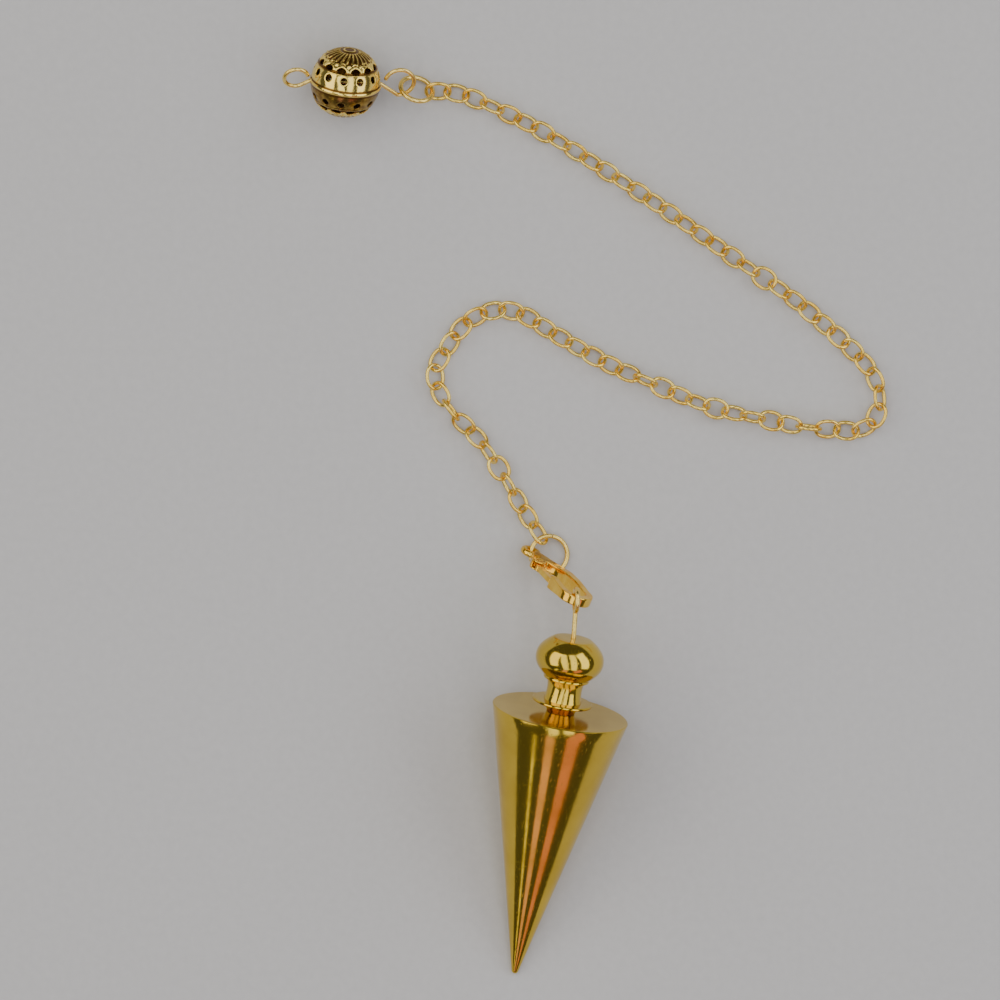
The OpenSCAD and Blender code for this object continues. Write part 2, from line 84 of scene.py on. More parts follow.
# %% Lay a drawn shape along three directions
def laid(points, seat):
    origin, x, y, z = (np.array(v, float) for v in seat)
    p = np.array(points, float).reshape(-1, 3)
    return origin + p[:, :1] * x + p[:, 1:2] * y + p[:, 2:3] * z


def towards(heading, rise=0.0):
    # A direction in degrees: heading is counted from the right, rise from the table
    a, b = math.radians(heading), math.radians(rise)
    return np.array([math.cos(b) * math.cos(a), math.cos(b) * math.sin(a), math.sin(b)])


def flat(v):
    return np.array([v[0], v[1], 0.0])


def unit(v):
    return v / np.linalg.norm(v)


# %% [markdown]
# ## From points to an object
# A mesh wants a list of corners and a list of faces. Each corner also keeps its place in
# the piece's own millimetres, in an attribute named own_mm. The finishes read it, so a
# turning line or a scratch stays with the metal when a piece turns on its joint.

# %% Make a smooth mesh object
def piece(name, points, faces, seat):
    own = np.array(points, float).reshape(-1, 3)
    world = laid(own, seat)
    mesh = bpy.data.meshes.new(name)
    mesh.from_pydata((world * MM).tolist(), [], faces)
    mesh.validate()
    mesh.polygons.foreach_set("use_smooth", [True] * len(mesh.polygons))
    note = mesh.attributes.new("own_mm", "FLOAT_VECTOR", "POINT")
    note.data.foreach_set("vector", own.astype(np.float32).ravel())
    mesh.update()
    made = bpy.data.objects.new(name, mesh)
    bpy.context.scene.collection.objects.link(made)
    print(name, len(mesh.vertices), "points,", len(mesh.polygons), "faces")
    return made


def keep_edges_crisp(made, degrees):
    crease = math.cos(math.radians(degrees))
    bm = bmesh.new()
    bm.from_mesh(made.data)
    for edge in bm.edges:
        if len(edge.link_faces) == 2:
            a, b = (face.normal for face in edge.link_faces)
            edge.smooth = a.dot(b) > crease
    bm.to_mesh(made.data)
    bm.free()


# %% [markdown]
# ## Turned shapes
# The cone and its head come off a lathe, and a lathe is also the natural way to model
# them: half of the outline is drawn once, as radius and height, and is swept round the
# axis in small steps. Two hundred steps or more keep the reflections on the large
# polished pieces free of facets.

# %% Sweep a half outline round its axis
def turned(profile, steps):
    points, faces, rows = [], [], []
    for radius, height in profile:
        start = len(points)
        if radius < 1e-6:
            points.append((0.0, 0.0, height))
            rows.append([start] * steps)
        else:
            for k in range(steps):
                a = 2 * math.pi * k / steps
                points.append((radius * math.cos(a), radius * math.sin(a), height))
            rows.append(list(range(start, start + steps)))
    for low, high in zip(rows, rows[1:]):
        for k in range(steps):
            n = (k + 1) % steps
            corners = [low[k], low[n], high[n], high[k]]
            kept = [c for i, c in enumerate(corners) if c != corners[i - 1]]
            if len(kept) > 2:
                faces.append(kept)
    return points, faces


def arc(cx, cy, r, start, end, steps):
    return [(cx + r * math.cos(math.radians(start + (end - start) * k / steps)),
             cy + r * math.sin(math.radians(start + (end - start) * k / steps)))
            for k in range(steps + 1)]


# %% [markdown]
# ## Wire
# Most of the rest is wire: the chain's links, the jump rings, the ball's loops and the
# eye. A round section follows a line of points. At each point the section is turned
# only as much as the line bends, so the wire doesn't twist. Cut ends get a small bevel,
# because a cutter and a file leave one.

# %% Run a round section along a line
def wire(line, radius, sides=16, closed=False, bevel=0.0):
    p = np.array(line, float)
    n = len(p)
    ahead = np.roll(p, -1, 0) - p
    behind = p - np.roll(p, 1, 0)
    if not closed:
        ahead[-1], behind[0] = behind[-1], ahead[0]
    run = ahead / np.linalg.norm(ahead, axis=1)[:, None] \
        + behind / np.linalg.norm(behind, axis=1)[:, None]
    run /= np.linalg.norm(run, axis=1)[:, None]
    side = np.cross(run[0], [0.3, 0.2, 1.0])
    sides_at = []
    for i in range(n):
        side = side - side.dot(run[i]) * run[i]
        side /= np.linalg.norm(side)
        sides_at.append(side.copy())
    turn = np.zeros(n)
    if closed:
        # What the section has turned by after one lap is shared out over the lap
        back = sides_at[-1] - sides_at[-1].dot(run[0]) * run[0]
        back /= np.linalg.norm(back)
        lap = math.atan2(np.cross(back, sides_at[0]).dot(run[0]), back.dot(sides_at[0]))
        turn = lap * np.arange(n) / n
    rows = []
    for i in range(n):
        u, v = sides_at[i], np.cross(run[i], sides_at[i])
        a = 2 * math.pi * np.arange(sides) / sides + turn[i]
        rows.append(p[i] + radius * (np.cos(a)[:, None] * u + np.sin(a)[:, None] * v))
    if bevel and not closed:
        for end, away in ((0, -run[0]), (-1, run[-1])):
            middle = p[end]
            face = middle + (rows[end] - middle) * (1 - bevel / radius) + away * bevel * 0.5
            rows = [face] + rows if end == 0 else rows + [face]
    points = [tuple(q) for row in rows for q in row]
    faces, count = [], len(rows)
    for i in range(count if closed else count - 1):
        j = (i + 1) % count
        for k in range(sides):
            m = (k + 1) % sides
            faces.append([i * sides + k, i * sides + m, j * sides + m, j * sides + k])
    if not closed:
        faces.append(list(range(sides - 1, -1, -1)))
        faces.append(list(range((count - 1) * sides, count * sides)))
    return points, faces


def smooth_line(p, steps):
    # A line through every given point that also leaves each one smoothly
    p = [np.array(q, float) for q in p]
    out = []
    for i in range(len(p) - 1):
        a, b, c, d = p[max(i - 1, 0)], p[i], p[i + 1], p[min(i + 2, len(p) - 1)]
        for k in range(steps):
            t = k / steps
            out.append(0.5 * (2 * b + (c - a) * t + (2 * a - 5 * b + 4 * c - d) * t * t
                              + (3 * b - a - 3 * c + d) * t ** 3))
    return out + [p[-1]]


def joined(parts):
    points, faces = [], []
    for more_points, more_faces in parts:
        start = len(points)
        points += [tuple(q) for q in more_points]
        faces += [[start + c for c in face] for face in more_faces]
    return points, faces


# %% [markdown]
# ## The route of the chain
# The chain lies in a wide S. Where its two ends are decides where everything else goes, so
# the route comes first. Its points were read off the photograph at seven pixels to the
# millimetre. Neighbouring links stand about crosswise to one another, half of them leaning
# left and half leaning right, by an amount that varies along the chain.

# %% The route and the lean of each link
ROUTE = [
    (-22.2, 59.6), (-18.3, 59.4), (-13.3, 57.5), (-5.9, 53.8), (1.1, 49.5), (8.4, 44.8),
    (15, 40.3), (22.1, 35.3), (29, 30.6), (35.2, 25.5), (39.2, 21.8), (40.9, 19.8),
    (42.1, 17.2), (42.3, 14.3), (41.2, 12.1), (39.3, 11), (37, 11.2), (31.7, 11.6),
    (26.4, 12.6), (18.3, 14.4), (10.6, 17.5), (3.1, 20.8), (-4, 24.8), (-8.6, 27.7),
    (-11.2, 28.5), (-13.9, 28.1), (-16.3, 27), (-18.1, 25.2), (-19.5, 22.9),
    (-21.1, 20.8), (-21.5, 18.4), (-20.4, 16.1), (-18.9, 14), (-17.3, 12),
    (-15.4, 10.4), (-12.2, 5.9), (-9.5, 1.2), (-5.8, -4.6)]
LEANS = [
    40, 35, 35, 60, 40, 45, 35, 55, 45, 50, 40, 55, 40, 45, 40, 50, 45,
    45, 35, 60, 10, 50, 45, 35, 40, 30, 35, 40, 45, 60, 30, 45, 30, 35,
    80, 40, 25, 65, 50, 20, 55, 45, 25, 70, 40, 40, 35, 45, 40, 40, 35,
    35, 35, 40, 35, 40, 35, 35, 40, 80, 40, 40, 65, 20, 70, 40, 40, 55]
LINK_L, LINK_W, CAD_WIRE, SHOWN_WIRE, TABLE_GAP = 3.84, 3.15, 0.42, 0.52, 0.02
HALF_LONG, HALF_WIDE = (LINK_L - CAD_WIRE) / 2, (LINK_W - CAD_WIRE) / 2
LINKS = len(LEANS)
route = np.array(smooth_line(ROUTE, 8))
steps_along = np.linalg.norm(np.diff(route, axis=0), axis=1)
reached = np.concatenate([[0], np.cumsum(steps_along)])
meets = np.linspace(0, reached[-1], LINKS + 1)


def lean_of(k):
    return math.radians((1 if k % 2 == 0 else -1) * LEANS[max(0, min(LINKS - 1, k))])


def lying_height(k):
    return HALF_WIDE * abs(math.sin(lean_of(k))) + CAD_WIRE / 2 + TABLE_GAP


joints = np.array([[np.interp(s, reached, route[:, 0]), np.interp(s, reached, route[:, 1]),
                    max(lying_height(k - 1), lying_height(k))]
                   for k, s in enumerate(meets)])
print(LINKS, "links, one every", round(float(meets[1]), 3), "mm, in",
      round(float(reached[-1]), 1), "mm")

# %% [markdown]
# ## Where the pieces lie
# Each piece hangs on the next, so their places follow from the two ends of the route and a
# few angles. The cone lies on its flank, which lifts its eye off the table. The clasp
# slopes just enough to bring its hook up to that eye, and the cone is then laid so that
# its eye is in the hook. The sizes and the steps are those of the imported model, so each
# shape that is drawn here lands on the model's own piece.

# %% The cone's slope and the height of its eye
CONE_R, CONE_L, TIP_R, BOB_HEADING = 9.8, 39.1, 0.5, 80.1
BEAD_R, BEAD_TOP = 3.3, 5.3
KNOB_R, KNOB_HALF_TALL, KNOB_FLAT_R, KNOB_SINK = 4.9, 3.7, 2.9, 0.1
EYE_R, EYE_WIRE_R, EYE_FOOT, EYE_REACH = 1.55, 0.35, 0.3, 5.3
EYE_LEAN, EYE_BEND = math.radians(10), math.radians(6)


def over_knob_middle(r):
    # How far over its middle the head's ball is as wide as r
    return KNOB_HALF_TALL * math.sqrt(1 - (r / KNOB_R) ** 2)


KNOB_MID = BEAD_TOP + over_knob_middle(BEAD_R) - KNOB_SINK
HEAD_TOP = KNOB_MID + over_knob_middle(KNOB_FLAT_R)
CONE_ANGLE = (math.atan2(CONE_R, CONE_L - TIP_R)
              - math.asin(TIP_R / math.hypot(CONE_R, CONE_L - TIP_R)))
BOB_Z = towards(BOB_HEADING, math.degrees(CONE_ANGLE))
BOB_Y = towards(BOB_HEADING + 90)
BOB_X = np.cross(BOB_Y, BOB_Z)
eye_along = CONE_L - TIP_R + HEAD_TOP + EYE_FOOT + EYE_REACH * math.cos(EYE_BEND)
eye_high = TIP_R + eye_along * math.sin(CONE_ANGLE)
print("the cone lies at", round(math.degrees(CONE_ANGLE), 2), "degrees, and its eye is",
      round(eye_high, 2), "mm up")

# %% The clasp between its ring and the eye
CLASP_L, HOOK_R, HOOK_DROP, CLASP_FOOT_R, CLASP_FOOT_T = 13.1, 2.05, 0.1, 1.05, 1.0
CLASP_HEADING, CLASP_ROLL, HANG_BACK = -44.5, math.radians(62), math.radians(14)
CLASP_RING_R, CLASP_RING_WIRE = 2.675, 0.65
CLASP_RING_TO_CLASP, CLASP_RING_TO_CHAIN, RING_SEAT = 172, 114, 0.22


def stands(slope):
    # How much of its radius a ring in the clasp's plane rises, when the clasp slopes
    a = math.radians(slope)
    return math.hypot(math.sin(a), math.sin(CLASP_ROLL) * math.cos(a))


def ring_middle(end, inner, held, thick, high):
    # The end link pulls at the ring's wire, which is at held as seen from the middle
    inwards = unit(flat(inner - end))
    return flat(end) + (thick / 2 + RING_SEAT) * inwards - flat(held) + [0, 0, high]


# The slope and the height of the clasp's two rounds depend on one another, so a first
# guess is put right a few times over
clasp_slope = 43.0
for _ in range(6):
    rounds = CLASP_FOOT_T / 2 + (CLASP_FOOT_R + HOOK_R) * stands(clasp_slope)
    clasp_slope = math.degrees(math.asin((eye_high - HOOK_DROP - rounds) / CLASP_L))
foot_high = CLASP_FOOT_R * stands(clasp_slope) + CLASP_FOOT_T / 2
ring_tilt = math.asin((foot_high - CLASP_RING_WIRE / 2) / (2 * CLASP_RING_R))
ring_x = towards(CLASP_RING_TO_CLASP, math.degrees(ring_tilt))
ring_y = towards(CLASP_RING_TO_CLASP + 90)
ring_at = ring_middle(joints[-1], joints[-2], CLASP_RING_R * towards(CLASP_RING_TO_CHAIN),
                      CLASP_RING_WIRE,
                      CLASP_RING_WIRE / 2 + CLASP_RING_R * math.sin(ring_tilt))
clasp_at = ring_at + CLASP_RING_R * ring_x
clasp_x = towards(CLASP_HEADING, clasp_slope)
clasp_y = (math.cos(CLASP_ROLL) * towards(CLASP_HEADING - 90)
           + math.sin(CLASP_ROLL) * towards(CLASP_HEADING + 180, 90 - clasp_slope))
hang = math.atan2(clasp_y[2], clasp_x[2]) - HANG_BACK
in_hook = HOOK_R * (math.cos(hang) * clasp_x + math.sin(hang) * clasp_y)
eye_at = flat(clasp_at + CLASP_L * clasp_x + in_hook) + [0, 0, eye_high]
tip_at = eye_at - eye_along * BOB_Z - EYE_REACH * math.sin(EYE_BEND) * BOB_Y
print("the clasp slopes by", round(clasp_slope, 2), "degrees")

# %% The pierced ball, its ring, and the middle of it all
BALL_RING_R, BALL_RING_WIRE = 2.35, 0.7
BALL_RING_DOWN, BALL_RING_LEAN, BALL_RING_HOLD = 20, math.radians(42), math.radians(-8)
BALL_R, BALL_WIRE, LEFT_NECK, RIGHT_NECK = 5.0, 0.6, 0.55, 0.7
LEFT_LOOP_R, RIGHT_LOOP_R, LOOPS_APART, BALL_BESIDE = 1.7, 2.1, 2.5, 0.92
BALL_SLOPE, BALL_YAW, LINK_TUCK = math.radians(12), math.radians(-2.5), 0.2
LEFT_LOOP_X = BALL_R + LEFT_NECK + LEFT_LOOP_R
RIGHT_LOOP_X = BALL_R + RIGHT_NECK + RIGHT_LOOP_R
ball_ring_x = towards(0, -BALL_RING_DOWN)
ball_ring_z = (math.cos(BALL_RING_LEAN) * towards(0, 90 - BALL_RING_DOWN)
               + [0, math.sin(BALL_RING_LEAN), 0])
ball_ring_y = np.cross(ball_ring_z, ball_ring_x)
held = BALL_RING_R * (math.cos(BALL_RING_HOLD) * ball_ring_x
                      + math.sin(BALL_RING_HOLD) * ball_ring_y)
ball_ring_high = BALL_RING_R * math.hypot(ball_ring_x[2], ball_ring_y[2]) + BALL_RING_WIRE / 2
ball_ring_at = ring_middle(joints[0], joints[1], held, BALL_RING_WIRE, ball_ring_high)
ball_at = np.array([ball_ring_at[0] - LOOPS_APART - RIGHT_LOOP_X * math.cos(BALL_SLOPE),
                    ball_ring_at[1] + BALL_BESIDE, BALL_R])
left_end = ball_at[0] - (LEFT_LOOP_X + LEFT_LOOP_R + BALL_WIRE / 2) * math.cos(BALL_SLOPE)
right_end = max(x for x, y in ROUTE) + LINK_W / 2 - LINK_TUCK
far_end, near_end = ball_at[1] + BALL_R, tip_at[1] - TIP_R
SHIFT = np.array([-(left_end + right_end) / 2, -(far_end + near_end) / 2, 0.0])
joints = joints + SHIFT
BOB = (tip_at + SHIFT - TIP_R * BOB_Z, BOB_X, BOB_Y, BOB_Z)
CLASP = (clasp_at + SHIFT, clasp_x, clasp_y, np.cross(clasp_x, clasp_y))
CLASP_RING = (ring_at + SHIFT, ring_x, ring_y, np.cross(ring_x, ring_y))
BALL_RING = (ball_ring_at + SHIFT, ball_ring_x, ball_ring_y, ball_ring_z)
BALL_AT = ball_at + SHIFT
print("moved by", np.round(SHIFT[:2], 3), "mm, so that zero is in the middle")

# %% [markdown]
# ## The cone
# The cone was turned from solid bar. Its flank is straight, the tip is only just blunt,
# and a narrow bevel breaks the edge of the flat face. That bevel is what draws the bright
# line round the face. The hole in the face takes the head's stem.

# %% Turn the cone
BEVEL, STEM_HOLE_R, STEM_HOLE_DEEP, FLANK_STEPS = 0.2, 1.65, 5.05, 24
flank_from = (TIP_R * math.cos(CONE_ANGLE), TIP_R - TIP_R * math.sin(CONE_ANGLE))
bevel_low = (CONE_R - BEVEL * math.tan(CONE_ANGLE), CONE_L - BEVEL)
cone_outline = [(0.0, 0.0)] + arc(0, TIP_R, TIP_R, -90, -math.degrees(CONE_ANGLE), 8)[1:]
for k in range(1, FLANK_STEPS + 1):
    t = k / FLANK_STEPS
    cone_outline.append((flank_from[0] + (bevel_low[0] - flank_from[0]) * t,
                         flank_from[1] + (bevel_low[1] - flank_from[1]) * t))
cone_outline += [(CONE_R - 0.25 * BEVEL, CONE_L - 0.55 * BEVEL),
                 (CONE_R - 0.6 * BEVEL, CONE_L - 0.2 * BEVEL), (CONE_R - BEVEL, CONE_L)]
# Rings of points across the flat face, down to the edge of the stem's hole
cone_outline += [(r, CONE_L) for r in (9.2, 8.0, 6.5, 5.0, 3.5, 2.2, STEM_HOLE_R)]
cone_outline += [(STEM_HOLE_R, CONE_L - STEM_HOLE_DEEP), (0.0, CONE_L - STEM_HOLE_DEEP)]
cone = piece("cone_turned", *turned(cone_outline, 240), BOB)
keep_edges_crisp(cone, 20)

# %% [markdown]
# ## The head
# The head is a second turned piece, with the parts that a turner calls foot, flange,
# neck, bead and ball. The ball is flattened: its side is rounder than its top, so the
# outline is made of a small arc between two large ones.

# %% Turn the head
STEM_R, STEM_DEEP, STEM_BEVEL, FACE_GAP = 1.6, 5.0, 0.15, 0.05
FOOT_R, NECK_R, COVE_R, COVE_SWEEP = 2.0, 2.5, 5.2, 17.05
FLANGE_R, FLANGE_LOW, FLANGE_TOP, BEAD_LOW = 4.3, 1.35, 1.8, 4.85
EYE_HOLE_R, EYE_HOLE_DEEP = 0.4, 2.0
# The ball's side is an arc of SIDE_R, and its top and bottom are arcs of BIG_R
SIDE_R = 2.6
SIDE_AT, RISE = KNOB_R - SIDE_R, KNOB_HALF_TALL - SIDE_R
DROP = (SIDE_AT ** 2 - RISE ** 2) / (2 * RISE)
BIG_R = KNOB_HALF_TALL + DROP
meet = math.degrees(math.atan2(DROP, SIDE_AT))


def big_arc_angle(height):
    return math.degrees(math.asin((abs(height) + DROP) / BIG_R))


def rim(r, bottom, top, steps_in):
    # A rounded edge: each step says how far in from the edge and from the two sides
    below = [(r - inwards, bottom + up) for inwards, up in steps_in]
    above = [(r - inwards, top - up) for inwards, up in reversed(steps_in)]
    return below + [(r, (bottom + top) / 2)] + above


head_outline = [(0.0, -STEM_DEEP), (STEM_R - STEM_BEVEL, -STEM_DEEP),
                (STEM_R, STEM_BEVEL - STEM_DEEP), (STEM_R, FACE_GAP), (FOOT_R, FACE_GAP),
                ((FOOT_R + NECK_R) / 2, (FACE_GAP + FLANGE_LOW) / 2), (NECK_R, FLANGE_LOW)]
head_outline += rim(FLANGE_R, FLANGE_LOW, FLANGE_TOP, [(0.4, 0), (0.12, 0.02), (0.02, 0.11)])
head_outline += [(2.73, FLANGE_TOP)]
head_outline += arc(NECK_R + COVE_R, (FLANGE_TOP + BEAD_LOW) / 2, COVE_R,
                    180 + COVE_SWEEP, 180 - COVE_SWEEP, 14)[1:-1]
head_outline += [(2.75, BEAD_LOW)]
head_outline += rim(BEAD_R, BEAD_LOW, BEAD_TOP, [(0.2, 0), (0.06, 0.05)])
head_outline += [(BEAD_R - 0.3, BEAD_TOP)]
low = big_arc_angle(BEAD_TOP - KNOB_MID)
head_outline += arc(0, KNOB_MID + DROP, BIG_R, -low, -meet, 10)
head_outline += arc(SIDE_AT, KNOB_MID, SIDE_R, -meet, meet, 24)[1:]
high = big_arc_angle(HEAD_TOP - KNOB_MID - 0.03)
head_outline += arc(0, KNOB_MID - DROP, BIG_R, meet, high, 12)[1:]
head_outline += [(KNOB_FLAT_R - 0.3, HEAD_TOP), (1.5, HEAD_TOP),
                 (EYE_HOLE_R + 0.05, HEAD_TOP), (EYE_HOLE_R, HEAD_TOP - 0.05),
                 (EYE_HOLE_R, HEAD_TOP - EYE_HOLE_DEEP), (0.0, HEAD_TOP - EYE_HOLE_DEEP)]
HEAD = (BOB[0] + CONE_L * BOB_Z, BOB_X, BOB_Y, BOB_Z)
head = piece("head_turned", *turned(head_outline, 200), HEAD)
keep_edges_crisp(head, 28)
print("the head stands", round(HEAD_TOP, 2), "mm above the cone's face")

# %% [markdown]
# ## The wire eye
# A straight wire stands in the head and was turned into a loop with round-nosed pliers.
# It is bent a few degrees to one side. The loop stands on edge, so from above it shows
# only as a thick spot on the wire.

# %% Bend the eye
EYE_DEEP = 1.95


def eye_point(along, aside, out):
    # Along the bent wire, across it in the loop's plane, and out of that plane
    x = aside * math.cos(EYE_LEAN) - out * math.sin(EYE_LEAN)
    y = aside * math.sin(EYE_LEAN) + out * math.cos(EYE_LEAN)
    return (x, y * math.cos(EYE_BEND) + along * math.sin(EYE_BEND),
            EYE_FOOT + along * math.cos(EYE_BEND) - y * math.sin(EYE_BEND))


eye_line = [(0, 0, -EYE_DEEP), (0, 0, -1.0), (0, 0, 0.0)]
eye_line += [eye_point(v, 0, 0) for v in (0.35, 1.2, 2.2, 3.0)]
loop = [eye_point(EYE_REACH + EYE_R * math.sin(a), EYE_R * math.cos(a), 0.0)
        for a in np.radians(np.arange(-78, 262, 10))]
eye_line = smooth_line(eye_line + [eye_point(EYE_REACH - EYE_R - 0.12, 0.02, 0)], 5)[:-1]
EYE_SEAT = (HEAD[0] + HEAD_TOP * BOB_Z, BOB_X, BOB_Y, BOB_Z)
eye = piece("eye_wire", *wire(eye_line + loop, EYE_WIRE_R, 20, bevel=0.06), EYE_SEAT)


# %% [markdown]
# ## The two jump rings
# A jump ring is a coil of wire sawn through, so it has a cut. The larger ring joins the
# clasp to the chain and the smaller one joins the chain to the pierced ball.

# %% Saw the rings
SAW_CUT = 0.15


def jump_ring(name, r, thick, cut_at, seat):
    half_cut = math.asin(SAW_CUT / 2 / r)
    turn = np.radians(cut_at) + np.linspace(half_cut, 2 * math.pi - half_cut, 97)
    line = [(r * math.cos(a), r * math.sin(a), 0.0) for a in turn]
    return piece(name, *wire(line, thick / 2, 20, bevel=0.05), seat)


clasp_ring = jump_ring("clasp_jump_ring", CLASP_RING_R, CLASP_RING_WIRE, cut_at=-92,
                       seat=CLASP_RING)
ball_ring = jump_ring("ball_jump_ring", BALL_RING_R, BALL_RING_WIRE, cut_at=90,
                      seat=BALL_RING)

# %% [markdown]
# ## The cable chain
# Each link is an oval ring, laid between the two places where it meets its neighbours.
# Copying one link with an array along a curve would be quicker, but every link would then
# lean by the same amount, and the chain would look like a strip of pattern.

# %% Close every link round its neighbour
def blunt(t):
    # A power under one fills out the four corners of an ellipse
    return math.copysign(abs(t) ** 0.9, t)


oval = [(HALF_LONG * blunt(math.cos(a)), HALF_WIDE * blunt(math.sin(a)), 0.0)
        for a in np.linspace(0, 2 * math.pi, 57)[:-1]]
link_points, link_faces = wire(oval, SHOWN_WIRE / 2, 12, closed=True)
links = []
for k in range(LINKS):
    along = joints[k + 1] - joints[k]
    x = along / np.linalg.norm(along)
    level = np.cross([0, 0, 1], x)
    level /= np.linalg.norm(level)
    up = np.cross(x, level)
    lean = lean_of(k)
    y = math.cos(lean) * level + math.sin(lean) * up
    seat = ((joints[k] + joints[k + 1]) / 2, x, y, np.cross(x, y))
    links.append((laid(link_points, seat), link_faces))
AT_ZERO = ([0, 0, 0], [1, 0, 0], [0, 1, 0], [0, 0, 1])
chain = piece("cable_chain", *joined(links), AT_ZERO)

# %% [markdown]
# ## The ball's wire
# One wire goes through the pierced ball and is turned into a loop on either side. The
# loop on the right holds the jump ring, and the one on the left is free.

# %% Turn the loops
LEFT_LEAN, RIGHT_LEAN, LOOP_ASIDE = 48, 34, 0.42


def through_ball(p):
    x, y, z = p
    x, z = (x * math.cos(BALL_SLOPE) + z * math.sin(BALL_SLOPE),
            -x * math.sin(BALL_SLOPE) + z * math.cos(BALL_SLOPE))
    return (x * math.cos(BALL_YAW) - y * math.sin(BALL_YAW),
            x * math.sin(BALL_YAW) + y * math.cos(BALL_YAW), z)


BALL_X, BALL_Y, BALL_Z = (through_ball(v) for v in ((1, 0, 0), (0, 1, 0), (0, 0, 1)))
BALL_SEAT = (BALL_AT, BALL_X, BALL_Y, BALL_Z)


def loop_line(middle, r, lean_degrees, start, end):
    lean = math.radians(lean_degrees)
    return [(middle + r * math.cos(a), (LOOP_ASIDE + r * math.sin(a)) * math.cos(lean),
             (LOOP_ASIDE + r * math.sin(a)) * math.sin(lean))
            for a in np.radians(np.arange(start, end + 1, 10))]


loops_line = loop_line(-LEFT_LOOP_X, LEFT_LOOP_R, LEFT_LEAN, -340, -40)
loops_line += [(x, 0, 0) for x in (-BALL_R - 0.1, -BALL_R / 2, BALL_R / 2, BALL_R + 0.1)]
loops_line += loop_line(RIGHT_LOOP_X, RIGHT_LOOP_R, RIGHT_LEAN, -90, 170)
loops = piece("ball_wire", *wire(loops_line, BALL_WIRE / 2, 18, bevel=0.06), BALL_SEAT)

# %% [markdown]
# ## The pierced ball
# Such a ball is cast in two halves and soldered along a raised seam. Round holes follow
# the seam, leaf shaped holes stand above them, and over each leaf two arches and a pair of
# curved ridges lead to the pole. The shell, its seam and its holes come from the packed
# model. The ribs are run over it as wires, and then everything is remeshed into one skin,
# which rounds the meetings just as molten metal does. Carving the ribs with a displacement
# would need far more faces for the same edge.

# %% Draw the ribs and grains
# The casting's pole points to the far side of the table and rises by about this much
POLE_RISE = 24
LEAVES, LEAF_START = 12, 7
# Each arch's half width, height and foot in degrees, and the radius of its wire
ARCHES = ((13.4, 9.0, 37, 0.17), (14.6, 14.0, 38, 0.12))
RIDGE_UP, RIDGE_ASIDE, RIDGE_SWIRL, RIDGE_R = (52, 56, 60, 64, 68, 72, 75), 7.5, 0.45, 0.125
GRAIN_UP, GRAIN_R = 47.5, 0.24
pole_turn = math.radians(POLE_RISE - 90)
POLE_X = BALL_X
POLE_Y = through_ball((0, math.cos(pole_turn), math.sin(pole_turn)))
POLE_Z = through_ball((0, -math.sin(pole_turn), math.cos(pole_turn)))
POLE_SEAT = (BALL_AT, POLE_X, POLE_Y, POLE_Z)


def on_ball(round_deg, up_deg, r=BALL_R):
    a, b = math.radians(round_deg), math.radians(up_deg)
    return (r * math.cos(b) * math.cos(a), r * math.cos(b) * math.sin(a), r * math.sin(b))


def rib_over_leaf(half, middle, wide, tall, foot):
    # An arch over one leaf: wide in degrees to either side, tall in degrees upwards
    line = []
    for t in np.linspace(-1, 1, 17):
        lift = math.cos(t * math.pi / 2) ** 0.75
        line.append(on_ball(middle + wide * t, half * (foot + tall * lift)))
    return line


def grain(at, r, steps=8):
    points, faces = turned([(0.0, -r)] + arc(0, 0, r, -60, 60, 4) + [(0.0, r)], steps)
    return [tuple(np.array(q) + np.array(at)) for q in points], faces


relief = []
for half in (-1, 1):
    for i in range(LEAVES):
        middle = LEAF_START + i * 360 / LEAVES
        for wide, tall, foot, thick in ARCHES:
            relief.append(wire(rib_over_leaf(half, middle, wide, tall, foot), thick, 8))
        # Curved ridges run on from the arches to the pole
        for aside in (-RIDGE_ASIDE, RIDGE_ASIDE):
            stroke = [on_ball(middle + aside + RIDGE_SWIRL * (up - RIDGE_UP[0]), half * up)
                      for up in RIDGE_UP]
            relief.append(wire(stroke, RIDGE_R, 8))
        # A grain sits midway to the next leaf
        relief.append(grain(on_ball(middle + 180 / LEAVES, half * GRAIN_UP), GRAIN_R))
    # One ring lies between the round holes and the leaves, and one round the pole
    for ring_up, step, thick in ((31.5, 5, 0.1), (81, 20, 0.13)):
        ring_line = [on_ball(a, half * ring_up) for a in range(0, 360, step)]
        relief.append(wire(ring_line, thick, 8, closed=True))
relief_points, relief_faces = joined(relief)
print(len(relief), "ribs and grains")

# %% Cast the ball as one skin
cast = frame["nodes"]["filigree_ball"].data.copy()
cast_object = bpy.data.objects.new("filigree_cast", cast)
bpy.context.scene.collection.objects.link(cast_object)
ribs = piece("ribs", relief_points, relief_faces, POLE_SEAT)


def cast_together(target, others, grain_mm, soften):
    """Joins meshes and gives them one closed skin, with edges as soft as a casting's."""
    bm = bmesh.new()
    bm.from_mesh(target.data)
    for other in others:
        bm.from_mesh(other.data)
        bpy.data.objects.remove(other)
    bm.to_mesh(target.data)
    bm.free()
    skin = target.modifiers.new("skin", "REMESH")
    skin.mode = "VOXEL"
    skin.voxel_size = grain_mm * MM
    softer = target.modifiers.new("softer", "SMOOTH")
    softer.factor, softer.iterations = 0.5, soften
    view = bpy.context.evaluated_depsgraph_get()
    mesh = bpy.data.meshes.new_from_object(target.evaluated_get(view))
    target.modifiers.clear()
    target.data = mesh
    mesh.polygons.foreach_set("use_smooth", [True] * len(mesh.polygons))
    mesh.update()
    print(target.name, "cast with", len(mesh.polygons), "faces")
    return target


ball = cast_together(cast_object, [ribs], grain_mm=0.1, soften=2)


